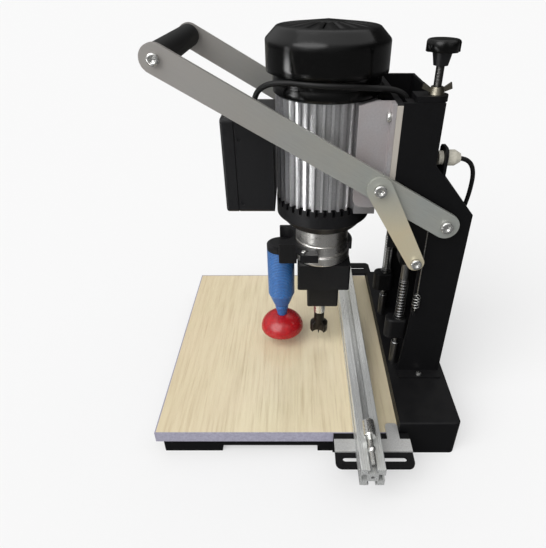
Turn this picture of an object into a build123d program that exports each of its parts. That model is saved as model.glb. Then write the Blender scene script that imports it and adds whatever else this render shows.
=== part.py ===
from build123d import *
import os
from math import cos, hypot, pi, radians, sin, sqrt, tan

# Bench boring machine for furniture hinges: a motor head slides down two rods on a sheet-steel
# column, pulled by a two-armed lever, over a laminated table with a T-slot fence.
# Millimetres. X runs from the table to the column, Y along the fence, Z up. The sizes below are
# measured from the spindle axis, and the finished pieces are shifted so that the origin is on the
# floor under the middle of the footprint.

os.makedirs("parts", exist_ok=True)

# Table and base
board_left = 211.0
board_right = 95.0
board_front = 166.5
board_back = 190.0
board_top = 40.0
board_thick = 16.0
band_thick = 1.5
pan_inset_left = 8.0
pan_inset_side = 4.0
pan_sheet = 2.0
pan_flange = 24.0
pan_lip = 14.0
cutout_left = 130.0
cutout_right = 6.0
cutout_height = 11.0
box_right = 172.0
box_height = 56.5
box_front = 167.0
box_back = 180.0
box_sheet = 2.5
box_corner = 7.0
box_lip = 14.0

# Column
column_half = 76.0
cheek_sheet = 4.0
back_sheet = 3.0
column_front = 72.3
column_top = 419.0
column_rear = 113.5
flare_top = 355.8
flare_bottom = 298.0
flare_rear = 164.0
notch_top = 256.0
notch_x = 113.0
notch_low = 150.0
notch_round = 8.0
foot_front = 107.0
foot_flange = 14.0
foot_flange_sheet = 2.0
foot_screw_radius = 4.2
foot_screw_height = 2.6
top_flange = 15.0
top_flange_inset = 4.0
bridge_low = 306.0
bridge_thick = 8.0
bridge_depth = 26.0

# Guide rods, bushes and springs
rod_x = 104.0
rod_inset = 20.0
rod_radius = 3.5
rod_run = 0.05
rod_sink = 2.0
socket_radius = 5.8
socket_height = 38.5
seat_low = 108.0
seat_height = 30.0
seat_front = 86.0
seat_rear = 114.0
seat_nose_round = 9.0
seat_back_round = 4.5
seat_top_round = 3.5
block_half = 10.0
washer_radius = 8.0
washer_thick = 1.5
bush_radius = 5.8
bush_low = 200.0
spring_wire = 1.5
spring_mean = 5.8
spring_turns = 14
spring_gap = 0.3
end_gap = 0.55

# Head stroke and carriage
stroke = 19.0
plate_front = 66.0
plate_back = 72.0
plate_low = 290.0
plate_chamfer = 3.0
block_low = 226.0
block_tongue = 12.0
block_front = 92.0
block_rear = 118.0
block_top = 300.0
block_round = 3.0
web_clear = 2.5
web_thick = 4.0
flange_reach = 11.0
flange_inset = 1.0
web_round = 10.0
web_bevel_length = 18.0
web_bevel_height = 5.0
cradle_rise = 10.0
cradle_over = 5.0
pad_width = 24.0
pad_depth = 26.0
pad_inset = 2.0
pad_edge = 1.5
flange_bolt_radius = 5.0
flange_bolt_height = 4.0
flange_bolt_low = 18.0
flange_bolt_high = 14.0

# Lever and links: pivot on the column, joint on the lever, pin on the carriage, handle
pivot = (133.0, 289.0)
joint = (54.5, 334.3)
link_pin = (104.0, 244.5)
handle = (-163.7, 460.7)
arm_gap = 6.0
arm_thick = 5.0
arm_radius_pivot = 14.5
arm_radius_handle = 13.7
link_thick = 5.0
link_radius_joint = 14.0
link_radius_pin = 9.8
side_gap = 0.3
pivot_radius = 6.0
pivot_collar = 11.0
pivot_nut_radius = 9.0
pivot_nut_height = 6.0
joint_radius = 5.0
pin_radius = 4.0
pin_shoulder = 7.0
pin_depth = 4.0
pin_slack = 0.75
run_gap = 0.05
pivot_head = 6.6
joint_head = 6.6
pin_head = 6.0
handle_head = 5.5
head_thick = 4.5
socket_depth = 2.2
grip_radius = 12.5
grip_round = 2.0
grip_rod_radius = 4.6
peg_x = 115.5
peg_drop = 3.0
peg_radius = 2.5
peg_over = 3.0
balance_low = 163.0
balance_wire = 1.5
balance_mean = 4.2
balance_turns = 5
balance_coil_low = 171.0
balance_pitch = 4.4
balance_clear = 0.5
balance_reach = 6.0
balance_hook = 1.5
balance_lead = 1.2

# Motor, from the nose of the head up
nose_low = 128.5
nose_height = 37.5
nose_half = 21.5
nose_offset = 3.0
head_height = 38.0
head_half = 34.7
head_offset = 2.5
head_round = 3.0
disc_height = 12.0
disc_radius = 37.5
disc_round = 1.5
collar_height = 34.0
collar_radius = 34.5
collar_groove_rise = 14.0
groove_width = 2.0
groove_depth = 1.2
lower_bell_height = 42.0
lower_bell_taper = 20.0
lower_bell_waist = 46.0
lower_bell_waist_rise = 7.0
lower_bell_lip = 0.5
bearing_step = 14.0
body_height = 121.0
fin_radius = 57.5
fin_depth = 6.0
fin_count = 36
fin_thick = 2.6
body_wall = 4.5
castle_height = 7.0
castle_half = 2.0
bell_height = 24.0
bell_radius = 60.0
bell_chamfer = 3.0
bell_groove_rise = 11.0
bell_dish = 26.0
bell_dish_depth = 6.0
bell_rim = 3.0
cap_side = 31.0
cap_rise = 12.0
cap_dome = 6.0
cap_radius = 67.0
cap_shoulder = 55.0
cap_round = 4.5
cap_wall = 2.0
cap_slots = 18
cap_slot_inner = 18.0
cap_slot_outer = 46.0
cap_slot_half = 1.0
shaft_radius = 9.0
shaft_hole_gap = 2.0
rotor_radius = 28.0
stator_bore = 28.6
stator_margin = 18.0
rotor_margin = 16.0
bearing_radius = 20.0
bearing_height = 12.0
fan_radius = 50.0
fan_blades = 9
fan_blade_half = 1.0
fan_rise = 6.0
fan_disc = 2.0
fan_height = 15.0
fan_stub = 28.0
seat_clear = 0.1
fit = 0.05

# Boring bit
spindle_reach = 23.5
spindle_radius = 8.3
chuck_radius = 11.0
chuck_depth = 30.0
chuck_clear = 0.6
chuck_bore_gap = 3.0
shank_radius = 5.0
shank_end = 6.0
bit_length = 34.0
bit_neck_radius = 7.5
cutter_radius = 13.0
cutter_height = 17.0
cutter_bevel = 5.0
flute_x = 3.7
flute_y = 12.3
flute_radius = 8.5
spur_width = 3.5
spur_half = 1.2
spur_height = 6.0
spur_drop = 1.0
spike_length = 10.5
spike_radius = 2.2
wing_turn = 8.0

# Hold-down, hung from the collar
hold_x = -55.5
hold_y = 12.5
sleeve_drop = 12.0
sleeve_length = 73.5
sleeve_radius = 19.0
cone_height = 19.5
sleeve_wall = 2.0
bore_step = 3.0
bore_cone = 4.0
neck_radius = 9.9
neck_drop = 6.5
neck_taper = 13.5
tip_radius = 7.0
tip_depth = 9.0
stem_collar = 2.5
stem_collar_height = 3.7
plunger_travel = 14.0
foot_radius = 32.0
foot_flat = 22.0
foot_crown = 24.5
foot_belly = 6.5
foot_crown_arc = 74.0
hold_cap_height = 9.0
hold_cap_bevel = 4.0
hold_wire = 1.8
hold_turns = 6
hold_spring_inset = 2.0
saddle_left = 57.0
saddle_right = 28.0
saddle_front = 20.0
saddle_wall = 5.5
saddle_drop = 17.0
saddle_round = 2.0
saddle_gap = 1.0
clamp_radius = 40.5
clamp_height = 11.0
clamp_open_start = -105.0
clamp_open_end = -15.0
lug_end = 6.0
lug_reach = 6.0
lug_inset = 2.0
lug_screw_inset = 3.5
lug_screw_radius = 2.6
lug_screw_height = 3.0

# Switch box
switch_left = 116.0
switch_seam = 101.0
switch_right = 59.0
switch_half = 45.0
switch_drop = 6.0
switch_height = 110.0
switch_wall = 3.0
switch_round = 5.0
lid_round = 3.0
seam_groove = 0.8
motor_clear = 0.3
box_screw_radius = 2.4
box_screw_depth = 1.2
box_screw_inset = 5.0
box_screw_low = 12.0
box_screw_high = 22.0
rocker_rise = 59.0
rocker_half = 9.0
rocker_height = 26.0
rocker_depth = 6.0
rocker_proud = 3.5
rocker_sunk = 0.5
rocker_margin = 1.5
rocker_pin_radius = 1.1
rocker_pin_reach = 1.8

# Depth stop
stop_x = 105.5
stop_inset = 13.0
stop_rod_radius = 4.0
stop_rod_clear = 0.5
stop_lip_clear = 1.0
stop_plate_thick = 6.0
stop_plate_front = 84.0
stop_plate_radius = 12.0
stop_lug_drop = 35.0
stop_lug_thick = 9.0
stop_lug_half = 6.0
stop_lug_over = 3.0
stop_rod_tail = 6.0
wing_hub_low = 8.0
wing_hub_top = 6.0
wing_hub_height = 7.0
wing_height = 11.0
wing_span = 15.0
wing_root = 5.0
wing_half = 1.5
wing_clear = 0.4
stem_low_radius = 7.0
stem_top_radius = 9.5
stem_height = 12.0
knob_radius = 16.0
knob_height = 11.0
knob_round = 3.0
knob_lobes = 6
knob_dent_radius = 4.5
knob_dent_out = 2.6
landing_gap = 0.3

# Fence
fence_face = 37.5
fence_size = 28.0
fence_length = 480.0
slot_mouth = 8.0
slot_width = 11.6
slot_lip = 2.5
slot_depth = 7.4
rail_round = 1.0
rail_bore = 2.1
plate_sheet = 2.0
bracket_sheet = 3.0
bracket_left = 13.0
bracket_right = 107.0
bracket_round = 8.0
bracket_leg_low = 6.0
bracket_slot = 6.6
bracket_slot_margin = 12.0
reach_front = 49.0
reach_rear = 43.5
track_gap_front = 10.0
track_gap_rear = 2.0
track_width = 18.0
slot_line_front = 37.0
slot_line_rear = 25.5
tab_left = 79.0
tab_right = 94.5
tab_reach = 14.0
tab_round = 5.0
fence_bolt_radius = 3.0
fence_bolt_head = 6.0
fence_bolt_flat = 5.4
fence_bolt_head_height = 3.4
fence_nut_radius = 9.0
fence_nut_small = 6.0
fence_nut_height = 6.0
fence_nut_rim = 2.0
fence_bolt_tail = 2.0
stop_body_radius = 7.0
stop_body_lift = 1.0
stop_body_rear = 181.0
stop_body_length = 22.0
stop_body_chamfer = 1.0
stop_key_inset = 2.0
stop_pin_radius = 3.0
stop_pin_drop = 2.0
stop_pin_length = 36.0
stop_ball_radius = 4.5
stop_ball_ahead = 15.0
slide_gap = 0.2

# Cord, gland and cables
cord_radius = 2.5
ear_x = 124.0
ear_y = -58.0
ear_z = 358.0
ear_sheet = 3.0
ear_half = 13.0
ear_over = 13.0
ear_round = 8.0
ear_sink = 2.0
gland_length = 16.0
gland_radius = 8.5
gland_taper = 6.0
gland_tip = 5.0
gland_thread = 6.0
gland_nut = 5.0
gland_nut_radius = 7.5
cable_radius = 3.0
cable_x = -80.0
cable_y = -30.0
cable_boss = 3.0
cable_boss_height = 6.0
cable_hug = 2.5
cable_under = 1.0
clip_x = 82.0
clip_aside = 16.0
clip_drop = 35.0
clip_height = 10.0
clip_wall = 4.0
coil_x = 166.0
coil_y = 237.0
coil_inner = 20.0
coil_pitch = 6.2
coil_half_turns = 3.0
coil_floor = 0.1
plug_tail = 24.0
plug_relief = 14.0
plug_length = 36.0
plug_width = 34.0
plug_taper = 6.0
plug_round = 4.0
plug_pin = 19.0
plug_pin_radius = 2.0
plug_pin_length = 19.0

# Heights and lines that follow from the sizes above
spindle_x = (board_left + band_thick - box_right) / 2
seat_top = seat_low + seat_height
socket_top = box_height + socket_height
head_step = nose_low + nose_height
disc_low = head_step + head_height
collar_low = disc_low + disc_height
lower_bell_low = collar_low + collar_height
body_low = lower_bell_low + lower_bell_height
bell_low = body_low + body_height
cap_low = bell_low + bell_height
cap_side_top = cap_low + cap_side
cap_shoulder_z = cap_side_top + cap_rise
cap_top = cap_shoulder_z + cap_dome
rod_y = column_half - rod_inset
stop_y = stop_inset - column_half
clip_y = stop_y + clip_aside
fin_root = fin_radius - fin_depth
body_bore = fin_root - body_wall
web_inner = fin_radius + web_clear
web_outer = web_inner + web_thick
web_front = fin_radius - pad_edge - pad_width - pad_inset
pad_inner = web_inner - pad_depth
cradle_low = body_low + cradle_rise
cradle_top = bell_low + cradle_over
spindle_low = nose_low - spindle_reach
shank_top = nose_low + chuck_depth - shank_end
cutter_low = spindle_low - bit_length
sleeve_top = collar_low - sleeve_drop
sleeve_low = sleeve_top - sleeve_length
cone_low = sleeve_low - cone_height
foot_top = cone_low - neck_drop - neck_taper
foot_middle = foot_top - foot_crown
switch_low = body_low - switch_drop
switch_top = switch_low + switch_height
rocker_z = switch_low + rocker_rise
rocker_pin_x = -switch_left + switch_wall / 2
stop_plate_top = column_top + stop_plate_thick
arm_inner = column_half + arm_gap
arm_outer = arm_inner + arm_thick
link_face = arm_outer + side_gap
clip_z = column_top - clip_drop
ear_end = ear_x + ear_sheet
nodes = {}


def block(x0, x1, y0, y1, z0, z1):
    return Pos((x0 + x1) / 2, (y0 + y1) / 2, (z0 + z1) / 2) * Box(x1 - x0, y1 - y0, z1 - z0)


def post(x, y, z0, z1, radius):
    return Pos(x, y, (z0 + z1) / 2) * Cylinder(radius, z1 - z0)


def pin_y(x, z, y0, y1, radius):
    return Pos(x, (y0 + y1) / 2, z) * Rot(90, 0, 0) * Cylinder(radius, abs(y1 - y0))


def pin_x(x0, x1, y, z, radius):
    return Pos((x0 + x1) / 2, y, z) * Rot(0, 90, 0) * Cylinder(radius, abs(x1 - x0))


def hex_post(x, y, z0, z1, radius):
    return Pos(x, y, z0) * extrude(RegularPolygon(radius, 6), z1 - z0)


def socket_head(x, z, face, radius):
    # Round bolt head on the near side, with a hexagon socket in its front.
    front = face - head_thick
    hexagon = Rot(90, 0, 0) * extrude(RegularPolygon(radius / 2, 6), head_thick)
    return pin_y(x, z, front, face, radius) - Pos(x, front + socket_depth, z) * hexagon


def slab_xz(face, y0, y1):
    # A face drawn with X across and Z up, given its thickness from y0 to y1.
    plane = Plane((0, y1, 0), x_dir=(1, 0, 0), z_dir=(0, -1, 0))
    return extrude(plane * face, y1 - y0)


def slab_xy(face, z0, z1):
    return Pos(0, 0, z0) * extrude(face, z1 - z0)


def outline(*points):
    return make_face(Polyline(*points, close=True))


def turned(x, y, *points):
    # Points are (radius, height) pairs of a closed profile, turned about a vertical axis.
    profile = make_face(Plane.XZ * Polyline(*points, close=True))
    return Pos(x, y, 0) * revolve(profile, Axis.Z)


def ring(x, y, z0, z1, outer, inner):
    return post(x, y, z0, z1, outer) - post(x, y, z0 - 1, z1 + 1, inner)


def tapered_bar(p, q, radius_p, radius_q):
    # Straight bar with round ends of two sizes, drawn in its own plane.
    length = hypot(q[0] - p[0], q[1] - p[1])
    ux, uy = (q[0] - p[0]) / length, (q[1] - p[1]) / length
    lean = (radius_p - radius_q) / length
    rise = sqrt(1 - lean * lean)

    def at(centre, radius, side):
        return (centre[0] + radius * (ux * lean - side * uy * rise),
                centre[1] + radius * (uy * lean + side * ux * rise))

    back = (p[0] - radius_p * ux, p[1] - radius_p * uy)
    front = (q[0] + radius_q * ux, q[1] + radius_q * uy)
    edges = [Line(at(p, radius_p, 1), at(q, radius_q, 1)),
             ThreePointArc(at(q, radius_q, 1), front, at(q, radius_q, -1)),
             Line(at(q, radius_q, -1), at(p, radius_p, -1)),
             ThreePointArc(at(p, radius_p, -1), back, at(p, radius_p, 1))]
    return make_face(edges)


def strip_along(points, thick):
    # Sheet of even thickness whose outer side follows the points, with mitred bends.
    def unit(a, b):
        run = hypot(b[0] - a[0], b[1] - a[1])
        return (b[0] - a[0]) / run, (b[1] - a[1]) / run

    normals = [(u[1], -u[0]) for u in map(unit, points[:-1], points[1:])]
    inner = []
    for i, (x, z) in enumerate(points):
        a = normals[max(i - 1, 0)]
        b = normals[min(i, len(normals) - 1)]
        share = thick / (1 + a[0] * b[0] + a[1] * b[1])
        inner.append((x + share * (a[0] + b[0]), z + share * (a[1] + b[1])))
    return outline(*points, *reversed(inner))


def both_sides(shape):
    return Compound(children=[*shape.solids(), *mirror(shape, about=Plane.XZ).solids()])


def biarc_path(stations):
    # Two tangent arcs between each pair of (point, direction) stations, or a line where straight.
    edges = []
    for (p, t), (q, s) in zip(stations[:-1], stations[1:]):
        p, t, q, s = Vector(*p), Vector(*t).normalized(), Vector(*q), Vector(*s).normalized()
        v = q - p
        if v.normalized().dot(t) > 0.999999 and v.normalized().dot(s) > 0.999999:
            edges.append(Line(p, q))
            continue
        spread = 2 * (1 - t.dot(s))
        along = v.dot(t + s)
        if spread > 1e-9:
            reach = (sqrt(along * along + spread * v.dot(v)) - along) / spread
        else:
            reach = v.dot(v) / (4 * v.dot(s))
        knot = (p + q + (t - s) * reach) * 0.5
        across = knot - (p + t * reach)
        edges.append(TangentArc(p, knot, tangent=t))
        edges.append(TangentArc(knot, q, tangent=across))
    return Wire(edges)


def stations_along(curve, start, stop, count):
    # Points and directions read from a curve function at even steps.
    step = (stop - start) / count
    small = step * 0.002
    stations = []
    for i in range(count + 1):
        u = start + i * step
        a, b = curve(u - small), curve(u + small)
        stations.append((curve(u), tuple(n - m for m, n in zip(a, b))))
    return stations


def least_gap(curve, start, stop, turns, radius):
    # Least distance between the tube's own turns, from points a half turn or more apart.
    count = int(turns * 24)
    points = [curve(start + (stop - start) * i / count) for i in range(count + 1)]
    least = 1e9
    for i, a in enumerate(points):
        for b in points[i + 12:]:
            least = min(least, sqrt(sum((m - n) ** 2 for m, n in zip(a, b))))
    return least - 2 * radius


def tube(path, radius, sides=0):
    section = RegularPolygon(radius, sides) if sides else Circle(radius)
    return sweep(Plane(path @ 0, z_dir=path % 0) * section, path, clean=False)


def spring_curve(x, y, low, high, mean, turns, wire, close):
    # Coil with a nearly closed turn at each end and evenly spaced turns between.
    bottom, top = low + wire / 2, high - wire / 2
    shut = wire + close
    pitch = (top - bottom - 2 * shut) / (turns - 2)

    def at(u):
        if u < 1:
            rise = shut * u
        elif u > turns - 1:
            rise = shut + pitch * (turns - 2) + shut * (u - turns + 1)
        else:
            rise = shut + pitch * (u - 1)
        return (x + mean * cos(2 * pi * u), y + mean * sin(2 * pi * u), bottom + rise)

    return at


def coil_spring(x, y, low, high, mean, turns, wire, close):
    curve = spring_curve(x, y, low, high, mean, turns, wire, close)
    print("spring least gap %.2f" % least_gap(curve, 0, turns, turns, wire / 2))
    return tube(biarc_path(stations_along(curve, 0, turns, turns * 4)), wire / 2, 6)


def route_radii(points):
    # Largest arc that each corner of a cord's route allows.
    radii = []
    for a, b, c in zip(points[:-2], points[1:-1], points[2:]):
        into, out = Vector(*b) - Vector(*a), Vector(*c) - Vector(*b)
        half = radians(into.get_angle(out)) / 2
        radii.append(0.45 * min(into.length, out.length) / tan(half))
    return radii


def cord_tube(name, points, radius):
    radii = route_radii(points)
    path = FilletPolyline(*points, radius=radii)
    print(name, "radii", " ".join("%.0f" % r for r in radii), "length %.0f" % path.length)
    cord = tube(path, radius)
    print(name, "volume share %.3f" % (cord.volume / (pi * radius * radius * path.length)))
    return cord


def base():
    front, back = board_front + band_thick, board_back + band_thick
    left = board_left + band_thick
    under = board_top - board_thick
    pan_left = -left + pan_inset_left
    pan_front, pan_back = -front + pan_inset_side, back - pan_inset_side

    def pan_inside(margin, low, high):
        return block(pan_left + margin, board_right + 1, pan_front + margin, pan_back - margin, low, high)

    pan = block(pan_left, board_right, pan_front, pan_back, 0, under)
    pan -= pan_inside(pan_sheet, pan_sheet, under - pan_sheet)
    pan -= pan_inside(pan_flange, under - pan_sheet - 1, under + 1)
    pan -= pan_inside(pan_lip, -1, pan_sheet + 1)
    pan -= block(-cutout_left, -cutout_right, pan_front - 1, pan_back + 1, -1, cutout_height)
    nodes["base_pan"] = pan

    shell = block(board_right, box_right, -box_front, box_back, 0, box_height)
    corners = [e for e in shell.edges().filter_by(Axis.Z) if e.center().X > box_right - 1]
    shell = fillet(corners, box_corner)
    shell = fillet(shell.faces().sort_by(Axis.Z)[-1].edges().sort_by(Axis.X)[1:], box_sheet)
    inner = block(board_right + box_sheet, box_right - box_sheet, -box_front + box_sheet,
                  box_back - box_sheet, box_sheet, box_height - box_sheet)
    mouth = block(board_right + box_lip, box_right - box_lip, -box_front + box_lip,
                  box_back - box_lip, -1, box_sheet + 1)
    nodes["base_box"] = shell - inner - mouth

    board = block(-board_left, board_right, -board_front, board_back, under, board_top)
    nodes["table_board"] = board
    bands = [block(-board_left, board_right, -front, -board_front, under, board_top),
             block(-board_left, board_right, board_back, back, under, board_top),
             block(-left, -board_left, -front, back, under, board_top)]
    nodes["edge_bands"] = Compound(children=bands)


def cheek_outline():
    points = [(column_front, column_top), (column_front, notch_top), (notch_x, notch_top),
              (notch_x, notch_low), (foot_front, box_height), (flare_rear, box_height),
              (flare_rear, flare_bottom), (column_rear, flare_top), (column_rear, column_top)]
    face = outline(*points)
    inside = [v for v in face.vertices() if abs(v.X - notch_x) < 0.1]
    return fillet(inside, notch_round)


def column():
    inner = column_half - cheek_sheet
    cheek = slab_xz(cheek_outline(), -column_half, -inner)
    cheek -= pin_y(pivot[0], pivot[1], -column_half - 1, -inner + 1, pivot_radius + fit)
    cheek += block(foot_front, flare_rear, -column_half - foot_flange, -column_half + 0.5,
                   box_height, box_height + foot_flange_sheet)
    peg = pin_y(peg_x, balance_low, -column_half + 0.5, -balance_line() - peg_over, peg_radius)
    cheek += peg
    lip = block(column_front + top_flange_inset, column_rear, -inner - 0.5, -inner + top_flange,
                column_top - cheek_sheet, column_top)
    lip -= post(stop_x, stop_y, column_top - cheek_sheet - 1, column_top + 1,
                stop_rod_radius + stop_lip_clear)
    nodes["near_cheek"] = cheek + lip
    nodes["far_cheek"] = mirror(cheek, about=Plane.XZ)

    rear = [(column_rear, column_top), (column_rear, flare_top), (flare_rear, flare_bottom),
            (flare_rear, box_height)]
    wall = slab_xz(strip_along(rear, back_sheet), -inner, inner)
    wall -= block(column_rear - top_flange, column_rear + 1, -inner - 1, -inner + top_flange,
                  column_top - cheek_sheet, column_top + 1)
    slope = (flare_top - flare_bottom) / (flare_rear - column_rear)
    low = flare_top - (ear_end - column_rear) * slope - ear_sink
    ear = block(ear_x, ear_end, ear_y - ear_half, ear_y + ear_half, low, ear_z + ear_over)
    top_corners = [e for e in ear.edges().filter_by(Axis.X) if e.center().Z > ear_z]
    ear = fillet(top_corners, ear_round)
    ear -= pin_x(ear_x - 1, ear_end + 1, ear_y, ear_z, gland_thread + fit)
    nodes["column_back"] = wall + ear

    bridge = block(rod_x - bridge_depth / 2, rod_x + bridge_depth / 2, -inner, inner,
                   bridge_low, bridge_low + bridge_thick)
    for side in (-1, 1):
        bridge -= post(rod_x, side * rod_y, bridge_low - 1, bridge_low + bridge_thick + 1,
                       rod_radius + fit)
    nodes["guide_bridge"] = bridge

    screw_x = (foot_front + flare_rear) / 2
    screw_y = column_half + foot_flange / 2
    low = box_height + foot_flange_sheet
    top = low + foot_screw_height
    screw = turned(screw_x, -screw_y, (0, low), (foot_screw_radius, low),
                   (foot_screw_radius - 0.6, top - 0.6), (foot_screw_radius / 3, top), (0, top))
    nodes["foot_screws"] = both_sides(screw)


def guides():
    rod = post(rod_x, -rod_y, box_height + rod_sink, bridge_low + bridge_thick, rod_radius)
    nodes["guide_rods"] = both_sides(rod)
    socket = turned(rod_x, -rod_y, (0, box_height), (socket_radius, box_height),
                    (socket_radius, socket_top - 1), (socket_radius - 1, socket_top), (0, socket_top))
    socket -= post(rod_x, -rod_y, box_height + rod_sink, socket_top + 1, rod_radius + fit)
    washer = ring(rod_x, -rod_y, seat_top, seat_top + washer_thick, washer_radius, rod_radius + slide_gap)
    nodes["rod_fittings"] = both_sides(Compound(children=[socket, washer]))

    seat = block(seat_front, seat_rear, -rod_y - block_half, -rod_y + block_half, seat_low, seat_top)
    uprights = seat.edges().filter_by(Axis.Z).sort_by(Axis.X)
    seat = fillet(uprights[:2], seat_nose_round)
    seat = fillet(seat.edges().filter_by(Axis.Z).sort_by(Axis.X)[-2:], seat_back_round)
    seat = fillet(seat.faces().sort_by(Axis.Z)[-1].edges(), seat_top_round)
    seat -= post(rod_x, -rod_y, seat_low - 1, seat_top + 1, rod_radius + fit)
    nodes["spring_seats"] = both_sides(seat)

    low = seat_top + washer_thick + spring_gap
    spring = coil_spring(rod_x, -rod_y, low, bush_low - spring_gap, spring_mean, spring_turns,
                         spring_wire, end_gap)
    nodes["return_springs"] = both_sides(spring)


def carriage():
    plate = block(plate_front, plate_back, -column_half, column_half, plate_low, column_top)
    plate = chamfer(plate.edges().filter_by(Axis.X), plate_chamfer)
    reach = cable_radius + clip_wall
    clip = block(plate_back - 0.5, clip_x + reach, clip_y - reach, clip_y + reach, clip_z,
                 clip_z + clip_height)
    clip -= post(clip_x, clip_y, clip_z - 1, clip_z + clip_height + 1, cable_radius + run_gap)
    nodes["carriage_plate"] = plate + clip

    front = plate_back + fit
    tongue_low = block_top - block_tongue
    face = outline((front, tongue_low), (block_front, tongue_low), (block_front, block_low),
                   (block_rear, block_low), (block_rear, block_top), (front, block_top))
    face = fillet(face.vertices().sort_by(Axis.X)[2:], block_round)
    outer = rod_y + block_half
    slide = slab_xz(face, -outer, -rod_y + block_half)
    slide -= post(rod_x, -rod_y, block_low - 1, block_top + 1, bush_radius + fit)
    slide -= pin_y(link_pin[0], link_pin[1], -outer - 1, -outer + pin_depth + fit, pin_radius + fit)
    nodes["slide_blocks"] = both_sides(slide)
    bush = ring(rod_x, -rod_y, bush_low, block_top, bush_radius, rod_radius + rod_run)
    nodes["slide_bushes"] = both_sides(bush)

    head_face = -link_face - link_thick - side_gap
    pin = pin_y(link_pin[0], link_pin[1], -outer, -arm_outer, pin_shoulder)
    pin += pin_y(link_pin[0], link_pin[1], -outer + pin_depth, head_face, pin_radius)
    pin += socket_head(link_pin[0], link_pin[1], head_face, pin_head)
    nodes["link_pins"] = both_sides(pin)

    side_view = outline((web_front, cradle_low), (plate_front, cradle_low), (plate_front, cradle_top),
                        (web_front + web_bevel_length, cradle_top),
                        (web_front, cradle_top - web_bevel_height))
    corner = [v for v in side_view.vertices() if v.X < web_front + 1 and v.Y < cradle_low + 1]
    web = slab_xz(fillet(corner, web_round), -web_outer, -web_inner)
    web += block(plate_front - web_thick, plate_front, flange_inset - column_half, -web_inner,
                 cradle_low, cradle_top)
    nodes["motor_cradle"] = both_sides(web)

    bolts = []
    bolt_y = flange_inset - column_half + flange_reach / 2
    face_x = plate_front - web_thick
    for z in (cradle_low + flange_bolt_low, cradle_top - flange_bolt_high):
        bolts.append(pin_x(face_x - flange_bolt_height, face_x, bolt_y, z, flange_bolt_radius))
    lug_top = collar_low + clamp_height
    screw = post(-saddle_right + lug_screw_inset, -clamp_radius, lug_top, lug_top + lug_screw_height,
                 lug_screw_radius)
    nodes["head_screws"] = Compound(children=[screw, *both_sides(Compound(children=bolts)).solids()])


def peg_height():
    # Height of the spring peg on the lever arm, just under the arm's middle line.
    slope = (handle[1] - pivot[1]) / (handle[0] - pivot[0])
    return pivot[1] + slope * (peg_x - pivot[0]) - peg_drop


def balance_line():
    return column_half + balance_mean + balance_wire / 2 + balance_clear


def lever():
    arm = slab_xz(tapered_bar(pivot, handle, arm_radius_pivot, arm_radius_handle), -arm_outer, -arm_inner)
    for (x, z), radius in ((pivot, pivot_radius + run_gap), (joint, joint_radius + fit),
                           (handle, grip_rod_radius + fit)):
        arm -= pin_y(x, z, -arm_outer - 1, -arm_inner + 1, radius)
    arm += pin_y(peg_x, peg_height(), -arm_inner - 0.5, -column_half - 1, peg_radius)
    nodes["near_lever_arm"] = arm
    nodes["far_lever_arm"] = mirror(arm, about=Plane.XZ)

    inside = -column_half + cheek_sheet
    bolt = pin_y(pivot[0], pivot[1], inside + pivot_nut_height, -arm_outer - side_gap, pivot_radius)
    bolt += pin_y(pivot[0], pivot[1], -column_half, -arm_inner + side_gap, pivot_collar)
    bolt += socket_head(pivot[0], pivot[1], -arm_outer - side_gap, pivot_head)
    bolt += pin_y(pivot[0], pivot[1], inside, inside + pivot_nut_height, pivot_nut_radius)
    nodes["pivot_bolts"] = both_sides(bolt)

    link_back = -link_face - link_thick
    link = slab_xz(tapered_bar(joint, link_pin, link_radius_joint, link_radius_pin), link_back, -link_face)
    link -= pin_y(joint[0], joint[1], link_back - 1, -link_face + 1, joint_radius + run_gap)
    link -= pin_y(link_pin[0], link_pin[1], link_back - 1, -link_face + 1, pin_radius + pin_slack)
    nodes["side_links"] = both_sides(link)

    rivet = pin_y(joint[0], joint[1], -arm_inner, link_back - side_gap, joint_radius)
    rivet += socket_head(joint[0], joint[1], link_back - side_gap, joint_head)

    grip = pin_y(handle[0], handle[1], -arm_inner, arm_inner, grip_radius)
    grip = fillet(grip.edges(), grip_round)
    grip -= pin_y(handle[0], handle[1], -arm_inner - 1, arm_inner + 1, grip_rod_radius + fit)
    nodes["lever_grip"] = grip
    end = socket_head(handle[0], handle[1], -arm_outer, handle_head)
    rod = pin_y(handle[0], handle[1], -arm_outer, arm_outer, grip_rod_radius)
    rod += end
    rod += mirror(end, about=Plane.XZ)
    nodes["lever_bolts"] = Compound(children=[rod, *both_sides(rivet).solids()])


def balance_springs():
    peg_z = peg_height()
    wire_y = -balance_line()
    top = balance_coil_low + balance_pitch * balance_turns
    radius = balance_wire / 2

    def at(u):
        return (peg_x + balance_mean * cos(2 * pi * u), wire_y + balance_mean * sin(2 * pi * u),
                balance_coil_low + balance_pitch * u)

    print("balance spring least gap %.2f" % least_gap(at, 0, balance_turns, balance_turns, radius))
    start = balance_low + peg_radius + spring_gap
    end = peg_z - peg_radius - spring_gap
    leg_y = -arm_inner + radius + balance_lead
    up = (0, 0, 1)
    lean = (0, leg_y - wire_y, end - top - balance_reach)
    stations = [((peg_x, wire_y, start), up), ((peg_x, wire_y, start + balance_hook), up)]
    stations += stations_along(at, 0, balance_turns, balance_turns * 4)
    stations += [((peg_x, wire_y, top + balance_reach), lean), ((peg_x, leg_y, end), lean)]
    nodes["balance_springs"] = both_sides(tube(biarc_path(stations), radius, 6))


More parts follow.
